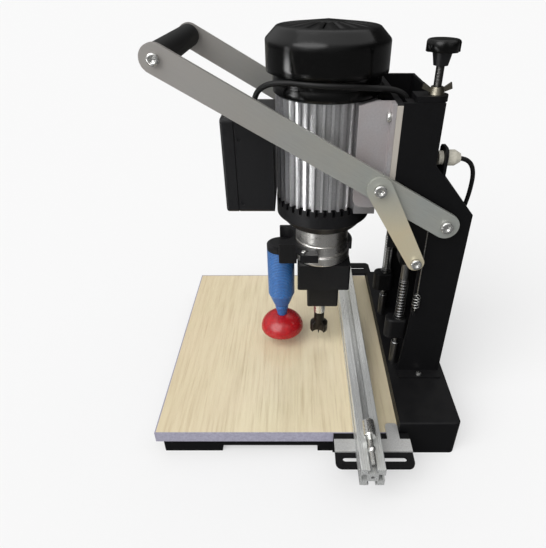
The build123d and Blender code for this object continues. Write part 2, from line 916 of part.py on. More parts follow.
def motor():
    shaft = shaft_radius + run_gap
    hole = shaft + shaft_hole_gap
    dish_low = cap_low - bell_dish_depth
    upper_seat = dish_low - bearing_height
    rim = cap_radius - cap_wall - seat_clear
    bell = turned(0, 0, (hole, bell_low), (bell_radius - bell_chamfer, bell_low),
                  (bell_radius, bell_low + bell_chamfer), (bell_radius, cap_low - bell_rim),
                  (rim, cap_low + seat_clear), (rim, cap_low + bell_rim),
                  (bell_dish, cap_low + bell_rim), (bearing_radius, dish_low), (hole, dish_low))
    bell -= post(0, 0, upper_seat - bearing_height, upper_seat + bearing_height, bearing_radius + fit)
    groove = bell_low + bell_groove_rise
    bell -= ring(0, 0, groove, groove + groove_width, bell_radius + 1, bell_radius - groove_depth)
    nodes["upper_bell"] = bell

    skin = turned(0, 0, (0, cap_low), (cap_radius, cap_low), (cap_radius, cap_side_top),
                  (cap_shoulder, cap_shoulder_z), (0, cap_top))
    bends = [e for e in skin.edges().filter_by(GeomType.CIRCLE) if e.center().Z > cap_low + 1]
    skin = fillet(bends, cap_round)
    hollow = turned(0, 0, (0, cap_low - 1), (cap_radius - cap_wall, cap_low - 1),
                    (cap_radius - cap_wall, cap_side_top - cap_wall / 2),
                    (cap_shoulder - cap_wall / 2, cap_shoulder_z - cap_wall), (0, cap_top - cap_wall))
    cap = skin - hollow
    slot = block(cap_slot_inner, cap_slot_outer, -cap_slot_half, cap_slot_half,
                 cap_shoulder_z - 2 * cap_wall, cap_top + 1)
    for i in range(cap_slots):
        cap -= Rot(0, 0, 360 * i / cap_slots) * slot
    nodes["fan_cover"] = cap

    profile = Circle(fin_root)
    rib = Pos((fin_root + fin_radius) / 2 - 1, 0) * Rectangle(fin_radius - fin_root + 2, fin_thick)
    for i in range(fin_count):
        profile += Rot(0, 0, 360 * (i + 0.5) / fin_count) * rib
    pad = Rectangle(pad_width, web_inner - pad_inner)
    for side in (-1, 1):
        pad_y = side * (web_inner + pad_inner) / 2
        profile += Pos(web_front + pad_inset + pad_width / 2, pad_y) * pad
    profile -= Circle(body_bore)
    stator = ring(0, 0, body_low + stator_margin, bell_low - stator_margin, body_bore + 1, stator_bore)
    nodes["motor_body"] = slab_xy(profile, body_low, bell_low) + stator

    lower_seat = lower_bell_low + bearing_step
    floor = lower_seat + bearing_height + bell_rim
    skirt = lower_bell_low + lower_bell_taper
    bell = turned(0, 0, (hole, lower_bell_low), (collar_radius, lower_bell_low),
                  (lower_bell_waist, lower_bell_low + lower_bell_waist_rise),
                  (fin_radius - bell_chamfer, skirt - bell_chamfer),
                  (fin_radius + lower_bell_lip, skirt), (fin_radius + lower_bell_lip, body_low),
                  (body_bore, body_low), (body_bore, floor), (hole, floor))
    bell -= post(0, 0, lower_seat - fit, lower_seat + bearing_height + fit, bearing_radius + fit)
    gap = block(fin_root - 1, fin_radius + bell_chamfer, -castle_half, castle_half,
                body_low - castle_height, body_low + 1)
    for i in range(fin_count):
        bell -= Rot(0, 0, 360 * i / fin_count) * gap
    nodes["lower_bell"] = bell

    bearings = [ring(0, 0, upper_seat, upper_seat + bearing_height, bearing_radius, shaft),
                ring(0, 0, lower_seat, lower_seat + bearing_height, bearing_radius, shaft)]
    nodes["shaft_bearings"] = Compound(children=bearings)

    bore = chuck_radius + chuck_bore_gap
    collar = ring(0, 0, collar_low, lower_bell_low, collar_radius, bore)
    groove = collar_low + collar_groove_rise
    collar -= ring(0, 0, groove, groove + groove_width, collar_radius + 1, collar_radius - groove_depth)
    disc = ring(0, 0, disc_low, collar_low, disc_radius, bore)
    disc = fillet(disc.edges().filter_by(GeomType.CIRCLE).sort_by(SortBy.RADIUS)[-2:], disc_round)
    nodes["head_flange"] = disc + collar

    wide = block(head_offset - head_half, head_offset + head_half, -head_half, head_half,
                 head_step, disc_low)
    wide = fillet(wide.edges().filter_by(Axis.Z), head_round)
    nose = block(nose_offset - nose_half, nose_offset + nose_half, -nose_half, nose_half,
                 nose_low, head_step)
    nose = fillet(nose.edges().filter_by(Axis.Z), head_round)
    nodes["head_block"] = wide + nose - post(0, 0, nose_low - 1, disc_low + 1, chuck_radius + chuck_clear)


def spindle():
    rotor = post(0, 0, body_low + rotor_margin, bell_low - rotor_margin, rotor_radius)
    rotor += post(0, 0, nose_low + chuck_depth, cap_low + fan_stub, shaft_radius)
    fan_low = cap_low + fan_rise
    rotor += post(0, 0, fan_low, fan_low + fan_disc, fan_radius)
    blade = block(shaft_radius - 1, fan_radius, -fan_blade_half, fan_blade_half, fan_low + 1,
                  fan_low + fan_disc + fan_height)
    for i in range(fan_blades):
        rotor += Rot(0, 0, 360 * i / fan_blades) * blade
    rotor += post(0, 0, nose_low + 1, nose_low + chuck_depth, chuck_radius)
    rotor += post(0, 0, spindle_low, nose_low + 2, spindle_radius)
    rotor -= post(0, 0, spindle_low - 1, shank_top + fit, shank_radius + fit)
    nodes["rotor_shaft"] = rotor

    top = cutter_low + cutter_height
    head = turned(0, 0, (0, cutter_low), (cutter_radius, cutter_low), (cutter_radius, top - cutter_bevel),
                  (bit_neck_radius, top), (0, top))
    for side in (-1, 1):
        head -= post(side * flute_x, side * flute_y, cutter_low - 1, top + 1, flute_radius)
    spur = block(cutter_radius - 0.5 - spur_width, cutter_radius - 0.5, -spur_half, spur_half,
                 cutter_low - spur_drop, cutter_low + spur_height)
    for turn in (0, 180):
        head += Rot(0, 0, turn) * spur
    head += turned(0, 0, (0, cutter_low - spike_length), (spike_radius, cutter_low + 0.5),
                   (0, cutter_low + 0.5))
    head += post(0, 0, top - cutter_bevel - 1, spindle_low - fit, bit_neck_radius)
    head += post(0, 0, spindle_low - 1, shank_top, shank_radius)
    nodes["hinge_cutter"] = Rot(0, 0, wing_turn) * head


def hold_bracket():
    lug_low, lug_top = collar_low, collar_low + clamp_height
    far = 2 * clamp_radius
    sector = [(0, 0)]
    for angle in (clamp_open_start, clamp_open_end):
        sector.append((far * cos(radians(angle)), far * sin(radians(angle))))
    clamp = ring(0, 0, lug_low, lug_top, clamp_radius, collar_radius + fit)
    clamp -= slab_xy(outline(*sector), lug_low - 1, lug_top + 1)
    lug = block(-saddle_right - 1, -lug_end, -clamp_radius - lug_reach, -collar_radius - lug_inset,
                lug_low, lug_top)

    saddle_low = collar_low - saddle_drop
    saddle = block(-saddle_left, -saddle_right, -saddle_front, hold_y + sleeve_radius + saddle_wall,
                   saddle_low, lug_top)
    saddle = fillet(saddle.edges().filter_by(Axis.Z), saddle_round)
    saddle -= post(0, 0, lug_low - 1, lug_top + 1, collar_radius + fit)
    saddle -= post(0, 0, saddle_low - 1, lug_low, disc_radius + saddle_gap)
    block_left = head_offset - head_half - saddle_gap
    saddle -= block(block_left, 0, -head_half - saddle_gap, head_half + saddle_gap, saddle_low - 1, disc_low)
    bracket = saddle + clamp + lug
    return bracket - post(hold_x, hold_y, saddle_low - 1, lug_top + 1, sleeve_radius + fit)


def hold_down():
    nodes["hold_bracket"] = hold_bracket()
    guide = neck_radius + seat_clear
    wide = neck_radius + bore_step
    sleeve = turned(hold_x, hold_y, (guide, cone_low), (neck_radius + sleeve_wall, cone_low),
                    (sleeve_radius, sleeve_low), (sleeve_radius, sleeve_top), (wide, sleeve_top),
                    (wide, sleeve_low + bore_cone), (guide, sleeve_low))
    nodes["hold_sleeve"] = sleeve
    cap_end = sleeve_top + hold_cap_height
    cap = turned(hold_x, hold_y, (0, sleeve_top), (sleeve_radius, sleeve_top),
                 (sleeve_radius, cap_end - hold_cap_bevel / 2), (sleeve_radius - hold_cap_bevel, cap_end),
                 (0, cap_end))
    nodes["sleeve_cap"] = cap

    collar = sleeve_low + bore_cone + spring_gap
    stem_top = collar + stem_collar_height
    tip = foot_top - tip_depth
    plunger = turned(hold_x, hold_y, (0, tip), (tip_radius, tip), (tip_radius, foot_top),
                     (neck_radius, foot_top + neck_taper), (neck_radius, collar),
                     (neck_radius + stem_collar, collar), (neck_radius + stem_collar, stem_top),
                     (0, stem_top))
    nodes["plunger"] = plunger
    spring = coil_spring(hold_x, hold_y, stem_top + spring_gap, sleeve_top - spring_gap,
                         neck_radius - hold_spring_inset, hold_turns, hold_wire, end_gap)
    nodes["plunger_spring"] = spring

    belly = EllipticalCenterArc((foot_flat, foot_middle), foot_radius - foot_flat, foot_belly,
                                start_angle=-90, arc_size=90)
    crown = EllipticalCenterArc((0, foot_middle), foot_radius, foot_crown, start_angle=0,
                                arc_size=foot_crown_arc)
    brim = crown @ 1
    hole = tip_radius + fit
    low = foot_middle - foot_belly
    dome = make_face([Line((0, low), (foot_flat, low)), belly, crown,
                      Line(brim, (hole, brim.Y)), Line((hole, brim.Y), (hole, tip)),
                      Line((hole, tip), (0, tip)), Line((0, tip), (0, low))])
    nodes["hold_foot"] = Pos(hold_x, hold_y, 0) * revolve(Plane.XZ * dome, Axis.Z)


def switch_box():
    shell = block(-switch_seam, -switch_right, -switch_half, switch_half, switch_low, switch_top)
    shell = fillet(shell.edges().filter_by(Axis.X), switch_round)
    shell = chamfer(shell.faces().sort_by(Axis.X)[0].edges(), seam_groove)
    shell -= block(-switch_seam - 1, -switch_right - switch_wall, -switch_half + switch_wall,
                   switch_half - switch_wall, switch_low + switch_wall, switch_top - switch_wall)
    shell -= post(0, 0, switch_low - 1, switch_top + 1, fin_radius + motor_clear)
    for side in (-1, 1):
        for z in (switch_low + box_screw_low, switch_top - box_screw_high):
            shell -= pin_y(-switch_seam + box_screw_inset, z, side * (switch_half - box_screw_depth),
                           side * (switch_half + 1), box_screw_radius)
    bore = cable_radius + run_gap
    shell += post(cable_x, cable_y, switch_top - 1, switch_top + cable_boss_height, cable_radius + cable_boss)
    shell -= post(cable_x, cable_y, switch_top - 2 * switch_wall, switch_top + cable_boss_height + 1, bore)
    nodes["switch_box"] = shell

    half = rocker_height / 2
    lid = block(-switch_left, -switch_seam, -switch_half, switch_half, switch_low, switch_top)
    lid = fillet(lid.edges().filter_by(Axis.X), switch_round)
    lid = fillet(lid.faces().sort_by(Axis.X)[0].edges(), lid_round)
    lid = chamfer(lid.faces().sort_by(Axis.X)[-1].edges(), seam_groove)
    lid -= block(-switch_left + switch_wall, -switch_seam + 1, -switch_half + switch_wall,
                 switch_half - switch_wall, switch_low + switch_wall, switch_top - switch_wall)
    lid -= block(-switch_left - 1, -switch_seam, -rocker_half - slide_gap, rocker_half + slide_gap,
                 rocker_z - half - slide_gap, rocker_z + half + slide_gap)
    pin_end = rocker_half + rocker_pin_reach
    lid -= pin_y(rocker_pin_x, rocker_z, -pin_end - slide_gap, pin_end + slide_gap,
                 rocker_pin_radius + run_gap)
    nodes["box_lid"] = lid

    x = -switch_left
    end = half - rocker_margin
    key = outline((x + rocker_depth, rocker_z - end), (x - rocker_sunk, rocker_z - end),
                  (x - rocker_sunk, rocker_z), (x - rocker_proud, rocker_z + end),
                  (x + rocker_depth, rocker_z + end))
    rocker = slab_xz(key, -rocker_half, rocker_half)
    nodes["rocker_key"] = rocker + pin_y(rocker_pin_x, rocker_z, -pin_end, pin_end, rocker_pin_radius)


def depth_stop():
    tab = block(stop_plate_front, stop_x, stop_y - stop_plate_radius, stop_y + stop_plate_radius,
                column_top, stop_plate_top)
    tab += post(stop_x, stop_y, column_top, stop_plate_top, stop_plate_radius)
    tab -= post(stop_x, stop_y, column_top - 1, stop_plate_top + 1, stop_rod_radius + stop_rod_clear)
    nodes["stop_plate"] = tab

    low = stop_plate_top + slide_gap
    hub_top = low + wing_hub_height
    tip = low + wing_height
    nut = turned(stop_x, stop_y, (0, low), (wing_hub_low, low), (wing_hub_top, hub_top), (0, hub_top))
    for side in (-1, 1):
        ear = outline((side * wing_root, low + 1), (side * wing_span, low + wing_root),
                      (side * (wing_span - wing_half), tip), (side * wing_root, low + wing_root))
        nut += Pos(stop_x, stop_y, 0) * slab_xz(ear, -wing_half, wing_half)
    nodes["wing_nut"] = nut - post(stop_x, stop_y, low - 1, tip + 1, stop_rod_radius + wing_clear)

    stem_low = hub_top + stroke + landing_gap
    knob_low = stem_low + stem_height
    rod_top = knob_low + knob_height / 2
    lug_low = column_top - stop_lug_drop
    lug = block(plate_back, stop_x + stop_lug_over, stop_y - stop_lug_half, stop_y + stop_lug_half,
                lug_low, lug_low + stop_lug_thick)
    nodes["depth_rod"] = lug + post(stop_x, stop_y, lug_low - stop_rod_tail, rod_top, stop_rod_radius)
    bore = stop_rod_radius + rod_run
    stem = turned(stop_x, stop_y, (bore, stem_low), (stem_low_radius, stem_low),
                  (stem_top_radius, knob_low), (bore, knob_low))
    nodes["stop_sleeve"] = stem
    knob_top = knob_low + knob_height
    knob = post(stop_x, stop_y, knob_low + side_gap, knob_top, knob_radius)
    knob = fillet(knob.edges().sort_by(Axis.Z)[-1:], knob_round)
    for i in range(knob_lobes):
        angle = 2 * pi * (i + 0.5) / knob_lobes
        away = knob_radius + knob_dent_out
        knob -= post(stop_x + away * cos(angle), stop_y + away * sin(angle), knob_low, knob_top + 1,
                     knob_dent_radius)
    nodes["depth_knob"] = knob - post(stop_x, stop_y, knob_low - 1, rod_top + 1, bore)


def fence_profile():
    half = fence_size / 2
    face = fillet(Rectangle(fence_size, fence_size).vertices(), rail_round)
    groove = Pos(0, half - slot_lip / 2 + 0.5) * Rectangle(slot_mouth, slot_lip + 1)
    groove += Pos(0, half - (slot_lip + slot_depth) / 2) * Rectangle(slot_width, slot_depth - slot_lip)
    for turn in range(4):
        face -= Rot(0, 0, 90 * turn) * groove
    return face - Circle(rail_bore)


def fence_bracket(side, edge, reach, slot_line):
    # Angle bracket on the table's edge, with the slot that the rail bolt slides in.
    near, far = sorted((side * edge, side * (edge + reach)))
    flange = block(bracket_left, bracket_right, near, far, board_top - bracket_sheet, board_top)
    tips = [e for e in flange.edges().filter_by(Axis.Z) if abs(e.center().Y) > edge + 1]
    flange = fillet(tips, bracket_round)
    near, far = sorted((side * edge, side * (edge + bracket_sheet)))
    leg = block(bracket_left, bracket_right, near, far, bracket_leg_low, board_top)
    low, high = bracket_left + bracket_slot_margin, bracket_right - bracket_slot_margin
    line = side * (edge + slot_line)
    half = bracket_slot / 2
    slot = block(low, high, line - half, line + half, 0, board_top + 1)
    for x in (low, high):
        slot += post(x, line, 0, board_top + 1, half)
    return flange + leg - slot


def fence_bolt(x, y, rest):
    # Bolt from the rail's lower slot down to a knurled nut under the bracket.
    head_low = rest + slot_lip + slide_gap
    head_top = head_low + fence_bolt_head_height
    nut_top = board_top - bracket_sheet - slide_gap
    nut_low = nut_top - fence_nut_height
    bolt = hex_post(x, y, head_low, head_top, fence_bolt_head)
    bolt = bolt & block(x - fence_bolt_flat, x + fence_bolt_flat, y - fence_bolt_head, y + fence_bolt_head,
                        head_low - 1, head_top + 1)
    bolt += post(x, y, nut_low - fence_bolt_tail, head_low + 1, fence_bolt_radius)
    bolt += turned(x, y, (0, nut_low), (fence_nut_small, nut_low), (fence_nut_radius, nut_top - fence_nut_rim),
                   (fence_nut_radius, nut_top), (0, nut_top))
    return bolt


def fence():
    rest = board_top + plate_sheet + slide_gap
    x = fence_face + fence_size / 2
    z = rest + fence_size / 2
    nodes["fence_rail"] = slab_xz(Pos(x, z) * fence_profile(), -fence_length / 2, fence_length / 2)

    front = board_front + band_thick
    back = board_back + band_thick
    sides = ((-1, front, reach_front, slot_line_front, track_gap_front),
             (1, back, reach_rear, slot_line_rear, track_gap_rear))
    brackets, plates, bolts = [], [], []
    for side, edge, reach, slot_line, gap in sides:
        brackets.append(fence_bracket(side, edge, reach, slot_line))
        bolts.append(fence_bolt(x, side * (edge + slot_line), rest))
        near, far = sorted((side * (edge + gap), side * (edge + gap + track_width)))
        plates.append(block(bracket_left, bracket_right, near, far, board_top, board_top + plate_sheet))
    tab = block(tab_left, tab_right, -front - track_gap_front - 1, -front + tab_reach,
                board_top, board_top + plate_sheet)
    plates[0] += fillet(tab.edges().filter_by(Axis.Z).sort_by(Axis.Y)[-2:], tab_round)
    nodes["fence_brackets"] = Compound(children=brackets)
    nodes["fence_plates"] = Compound(children=plates)
    nodes["fence_bolts"] = Compound(children=bolts)

    top = rest + fence_size
    stop_z = top + stop_body_radius + stop_body_lift
    pin_z = stop_z - stop_pin_drop
    front_end = -stop_body_rear - stop_body_length
    stop = pin_y(x, stop_z, front_end, -stop_body_rear, stop_body_radius)
    stop = chamfer(stop.edges(), stop_body_chamfer)
    stop += pin_y(x, pin_z, front_end - stop_pin_length, front_end + 1, stop_pin_radius)
    stop += Pos(x, front_end - stop_ball_ahead, pin_z) * Sphere(stop_ball_radius)
    key_front, key_rear = front_end + stop_key_inset, -stop_body_rear - stop_key_inset
    neck = slot_mouth / 2 - slide_gap
    stop += block(x - neck, x + neck, key_front, key_rear, top - slot_lip - 1, stop_z - stop_pin_radius)
    wide = slot_width / 2 - slide_gap
    stop += block(x - wide, x + wide, key_front, key_rear, top - slot_depth + slide_gap,
                  top - slot_lip - slide_gap)
    nodes["fence_stop"] = stop


def coil_curve(u):
    # Two layers of the put-away cord: it winds in, climbs a layer and winds out again.
    away = sqrt((u - coil_half_turns) ** 2 + 0.02)
    radius = coil_inner + coil_pitch * away
    climb = min(max((u - coil_half_turns + 0.25) / 0.5, 0), 1)
    lift = climb * climb * (3 - 2 * climb)
    return (coil_x + radius * cos(2 * pi * u), coil_y + radius * sin(2 * pi * u),
            coil_floor + cord_radius + coil_pitch * lift)


def cord_gland():
    bore = cord_radius + run_gap
    nut_end = -ear_sheet - gland_nut
    gland = turned(0, 0, (bore, nut_end), (gland_nut_radius, nut_end), (gland_nut_radius, -ear_sheet),
                   (gland_thread, -ear_sheet), (gland_thread, 0), (gland_radius, 0),
                   (gland_radius, gland_length - gland_taper), (gland_tip, gland_length),
                   (bore, gland_length))
    nodes["cord_gland"] = Pos(ear_end, ear_y, ear_z) * Rot(0, 90, 0) * gland


def cords():
    turns = 2 * coil_half_turns
    start, finish = coil_curve(0), coil_curve(turns)
    print("coil least gap %.2f" % least_gap(coil_curve, 0, turns, turns, cord_radius))
    drop = [(3, 0, 0), (18, 0, 0), (30, 2, -6), (37, 6, -20), (39.5, 12, -42), (41.5, 22, -64),
            (44, 42, -100), (46.5, 64, -142), (49.5, 88, -186), (53, 115, -228), (58, 146, -268),
            (64, 178, -300)]
    route = [(ear_end + x, ear_y + y, ear_z + z) for x, y, z in drop]
    landing = [(-11, -86, 31), (-4.5, -55, 11), (0, -28, 0), (0, 0, 0)]
    route += [(start[0] + x, start[1] + y, start[2] + z) for x, y, z in landing]
    nodes["mains_cord"] = cord_tube("mains cord", route, cord_radius)

    stations = stations_along(coil_curve, 0, turns, int(turns * 4))
    stations[0] = (start, (0, 1, 0))
    stations[-1] = (finish, (0, 1, 0))
    plug_y = finish[1] + plug_tail
    stations.append(((finish[0], plug_y + plug_relief / 2, finish[2]), (0, 1, 0)))
    path = biarc_path(stations)
    print("coil length %.0f" % path.length)
    nodes["cord_coil"] = tube(path, cord_radius)

    half, high = plug_width / 2, 2 * (finish[2] - coil_floor)
    body = block(-half, half, 0, plug_length, coil_floor, coil_floor + high)
    body = chamfer(body.faces().sort_by(Axis.Y)[0].edges(), plug_taper)
    body = fillet(body.edges().filter_by(Axis.Y), plug_round)
    relief = Pos(0, -plug_relief / 2 + 1, finish[2]) * Rot(-90, 0, 0)
    body += relief * Cone(cord_radius + 1.5, cord_radius + 4, plug_relief + 2)
    for side in (-1, 1):
        body += pin_y(side * plug_pin / 2, finish[2], plug_length - 1, plug_length + plug_pin_length,
                      plug_pin_radius)
    body -= pin_y(0, finish[2], -2 * plug_relief, -plug_relief / 2 + run_gap, cord_radius + run_gap)
    nodes["plug"] = Pos(finish[0], plug_y + plug_relief, 0) * body


def motor_cable():
    # From the switch box round the motor under the fan cover, over the carriage plate, to its clip.
    under = cap_low - cable_radius - cable_under
    around = bell_radius + cable_radius + cable_hug
    bends = [(-128, 0), (-109, 0), (-90, -0.5), (-70, -2), (-52, -5)]
    route = [(cable_x, cable_y, switch_top - 2), (cable_x, cable_y, (switch_top + under) / 2),
             (cable_x + 14, cable_y - 11, under - 3)]
    for angle, dip in bends:
        route.append((around * cos(radians(angle)), around * sin(radians(angle)), under + dip))
    over = column_top + cable_radius
    route += [(plate_front + 1, clip_y, over + 4), (clip_x - 1, clip_y, over - 3),
              (clip_x, clip_y, column_top - 12), (clip_x, clip_y, clip_z)]
    nodes["motor_cable"] = cord_tube("motor cable", route, cable_radius)


base()
column()
guides()
carriage()
lever()
balance_springs()
motor()
spindle()
hold_down()
switch_box()
depth_stop()
fence()
cord_gland()
cords()
motor_cable()
for name, shape in nodes.items():
    export_step(Pos(spindle_x, 0, 0) * shape, "parts/%s.step" % name)
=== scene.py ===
import bpy
import numpy as np
from math import cos, pi, radians, sin
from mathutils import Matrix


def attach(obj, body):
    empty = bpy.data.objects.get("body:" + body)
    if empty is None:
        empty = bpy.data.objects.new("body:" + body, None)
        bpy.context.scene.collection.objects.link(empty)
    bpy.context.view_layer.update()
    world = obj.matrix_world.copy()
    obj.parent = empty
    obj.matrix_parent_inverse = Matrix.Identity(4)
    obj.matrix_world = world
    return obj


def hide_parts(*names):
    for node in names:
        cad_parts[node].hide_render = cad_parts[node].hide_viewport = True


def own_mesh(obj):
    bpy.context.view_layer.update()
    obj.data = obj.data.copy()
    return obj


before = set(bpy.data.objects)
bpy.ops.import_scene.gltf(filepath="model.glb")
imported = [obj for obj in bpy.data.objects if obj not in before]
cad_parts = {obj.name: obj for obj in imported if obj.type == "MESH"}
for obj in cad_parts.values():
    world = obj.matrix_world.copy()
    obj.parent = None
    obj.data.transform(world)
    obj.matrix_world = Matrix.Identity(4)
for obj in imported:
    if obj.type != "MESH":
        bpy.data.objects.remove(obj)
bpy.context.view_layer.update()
scene = bpy.context.scene
spindleX = 20.25  # spindle axis from the middle of the footprint, mm
print("frame loaded")


def place(x, y, z):  # mm from the floor under the spindle, to metres in the frame
    return ((x + spindleX) / 1000, y / 1000, z / 1000)


# Camera: place in mm, pitch in degrees, focal length and long side in pixels
cameraSet = {"at": (-32.7, -553.1, 533.8), "pitch": 33.41, "focal": 471.98, "long": 548,
             "shift": -0.044, "sensor": 36, "near": 0.01}
lens = bpy.data.cameras.new("camera")
lens.sensor_width = cameraSet["sensor"]
lens.lens = cameraSet["focal"] / cameraSet["long"] * lens.sensor_width
lens.shift_x = cameraSet["shift"]
lens.clip_start = cameraSet["near"]
camera = bpy.data.objects.new("camera", lens)
camera.location = place(*cameraSet["at"])
camera.rotation_euler = (radians(90 - cameraSet["pitch"]), 0, 0)
scene.collection.objects.link(camera)
scene.camera = camera
scene.view_settings.view_transform = "Standard"

# Node helpers: a value may be a plain one or another node's socket
mixInputs, mixOutput = (6, 7), 2  # the colour sockets of a Mix node


def isSocket(value):
    return hasattr(value, "is_linked")


def addNode(tree, kind, **settings):
    node = tree.nodes.new(kind)
    for key, value in settings.items():
        setattr(node, key, value)
    return node


def join(tree, value, socket):
    if isSocket(value):
        tree.links.new(value, socket)
    else:
        socket.default_value = value


def fed(tree, node, *values):  # the node with its first inputs joined to the values
    for socket, value in zip(node.inputs, values):
        join(tree, value, socket)
    return node


def mathNode(tree, operation, *values):
    return fed(tree, addNode(tree, "ShaderNodeMath", operation=operation), *values).outputs[0]


def vectorNode(tree, operation, *values):
    return fed(tree, addNode(tree, "ShaderNodeVectorMath", operation=operation), *values).outputs


def dotNode(tree, a, b):
    return vectorNode(tree, "DOT_PRODUCT", a, b)["Value"]


def product(tree, *values):
    return mathNode(tree, "MULTIPLY", *values)


def blend(tree, share, start, end):  # start + share (end - start)
    return mathNode(tree, "MULTIPLY_ADD", share, mathNode(tree, "SUBTRACT", end, start), start)


def spread(tree, value, fromLow, fromHigh, low=0.0, high=1.0):
    node = addNode(tree, "ShaderNodeMapRange")
    labels = ("Value", "From Min", "From Max", "To Min", "To Max")
    for label, item in zip(labels, (value, fromLow, fromHigh, low, high)):
        join(tree, item, node.inputs[label])
    return node.outputs[0]


def mixColor(tree, fac, a, b):
    node = addNode(tree, "ShaderNodeMix", data_type="RGBA")
    join(tree, fac, node.inputs[0])
    for index, value in zip(mixInputs, (a, b)):
        join(tree, value if isSocket(value) else (*value, 1), node.inputs[index])
    return node.outputs[mixOutput]


def objectSpot(tree):
    return addNode(tree, "ShaderNodeTexCoord").outputs["Object"]


def faceNormal(tree):
    return addNode(tree, "ShaderNodeNewGeometry").outputs["Normal"]


# Light: wide soft suns, each with where it stands, its power and its width in degrees
sunSet = {
    "keySoft": ((-0.50, -0.55, 0.67), 2.8, 55),
    "topSoft": ((0.15, 0.10, 0.98), 0.8, 80),
}
for sunName, ((x, y, z), power, width) in sunSet.items():
    sun = bpy.data.lights.new(sunName, "SUN")
    sun.energy = power
    sun.angle = radians(width)
    holder = bpy.data.objects.new(sunName, sun)
    holder.rotation_euler = (np.arctan2(np.hypot(x, y), z), 0, np.arctan2(x, -y))
    scene.collection.objects.link(holder)

# Room: a plain glow, darker away from the key for mirror rays, and pale for the camera
roomSet = {"glow": 0.37, "backdrop": 0.94, "key": (-0.62, -0.30, 0.72), "dark": 0.04,
           "bright": 0.96, "from": -0.15, "to": 0.95}
world = bpy.data.worlds.new("studio")
world.use_nodes = True
scene.world = world
sky = world.node_tree
sky.nodes.clear()
rays = addNode(sky, "ShaderNodeLightPath").outputs
aim = addNode(sky, "ShaderNodeTexCoord").outputs["Generated"]
mirrored = spread(sky, dotNode(sky, aim, roomSet["key"]), roomSet["from"], roomSet["to"],
                  roomSet["dark"], roomSet["bright"])
level = blend(sky, rays["Is Glossy Ray"], roomSet["glow"], mirrored)
level = blend(sky, rays["Is Camera Ray"], level, roomSet["backdrop"])
glow = addNode(sky, "ShaderNodeBackground")
glow.inputs["Color"].default_value = (1, 1, 1, 1)
join(sky, level, glow.inputs["Strength"])
join(sky, glow.outputs[0], addNode(sky, "ShaderNodeOutputWorld").inputs[0])

# Floor: pale, with panels (middle, reach, brightness) that only mirror rays see
floorSet = {"half": 14.0, "color": (0.79, 0.79, 0.79), "backdrop": (0.94, 0.94, 0.94, 1),
            "lift": 0.5, "mirror": 0.12, "core": 0.4,
            "panels": (((-2.55, -0.50, 0), 0.42, 13.0), ((-1.75, -0.55, 0), 0.34, 16.0),
                       ((-0.60, -0.58, 0), 0.24, 6.5))}
half = floorSet["half"]
corners = [(-half, -half, 0), (half, -half, 0), (half, half, 0), (-half, half, 0)]
floorMesh = bpy.data.meshes.new("floor")
floorMesh.from_pydata(corners, [], [(0, 1, 2, 3)])
floor = bpy.data.objects.new("floor", floorMesh)
scene.collection.objects.link(floor)
floorMat = bpy.data.materials.new("floorPale")
floorMat.use_nodes = True
tree = floorMat.node_tree
tree.nodes.clear()
rays = addNode(tree, "ShaderNodeLightPath").outputs
spot = objectSpot(tree)
mirrorTone = floorSet["mirror"]
for middle, reach, bright in floorSet["panels"]:
    away = vectorNode(tree, "DISTANCE", spot, middle)["Value"]
    share = spread(tree, away, reach, reach * floorSet["core"])
    mirrorTone = mathNode(tree, "MULTIPLY_ADD", share, bright, mirrorTone)
matte = addNode(tree, "ShaderNodeBsdfDiffuse")
tone = mixColor(tree, rays["Is Glossy Ray"], floorSet["color"], mirrorTone)
join(tree, tone, matte.inputs["Color"])
lit = addNode(tree, "ShaderNodeEmission")
lit.inputs["Color"].default_value = floorSet["backdrop"]
lift = product(tree, rays["Is Camera Ray"], floorSet["lift"])
both = fed(tree, addNode(tree, "ShaderNodeMixShader"), lift, matte.outputs[0], lit.outputs[0])
join(tree, both.outputs[0], addNode(tree, "ShaderNodeOutputMaterial").inputs[0])
floorMesh.materials.append(floorMat)
print("camera, light and floor set")


# Shared shader groups, each with one output
def newGroup(name, **inputs):
    group = bpy.data.node_groups.new(name, "ShaderNodeTree")
    for label, value in inputs.items():
        kind = "NodeSocketVector" if isinstance(value, tuple) else "NodeSocketFloat"
        socket = group.interface.new_socket(label, in_out="INPUT", socket_type=kind)
        socket.default_value = value
    group.interface.new_socket("Fac", in_out="OUTPUT", socket_type="NodeSocketFloat")
    given = addNode(group, "NodeGroupInput").outputs
    return group, given, addNode(group, "NodeGroupOutput").inputs["Fac"]


def useGroup(tree, group, **values):
    node = addNode(tree, "ShaderNodeGroup", node_tree=group)
    for key, value in values.items():
        join(tree, value, node.inputs[key])
    return node.outputs[0]


# Stretched noise, cut to a range
grainSet = {"detail": 4, "rough": 0.6, "cut": (0.35, 0.65)}
grainGroup, given, made = newGroup("grainField", Stretch=(1, 1, 1), Turn=0.0, Scale=200.0,
                                   Low=grainSet["cut"][0], High=grainSet["cut"][1])
spin = addNode(grainGroup, "ShaderNodeVectorRotate", rotation_type="Y_AXIS")
join(grainGroup, objectSpot(grainGroup), spin.inputs["Vector"])
join(grainGroup, given["Turn"], spin.inputs["Angle"])
drawn = vectorNode(grainGroup, "MULTIPLY", spin.outputs[0], given["Stretch"])[0]
noise = addNode(grainGroup, "ShaderNodeTexNoise")
noise.inputs["Detail"].default_value = grainSet["detail"]
noise.inputs["Roughness"].default_value = grainSet["rough"]
join(grainGroup, drawn, noise.inputs["Vector"])
join(grainGroup, given["Scale"], noise.inputs["Scale"])
join(grainGroup, spread(grainGroup, noise.outputs["Fac"], given["Low"], given["High"]), made)

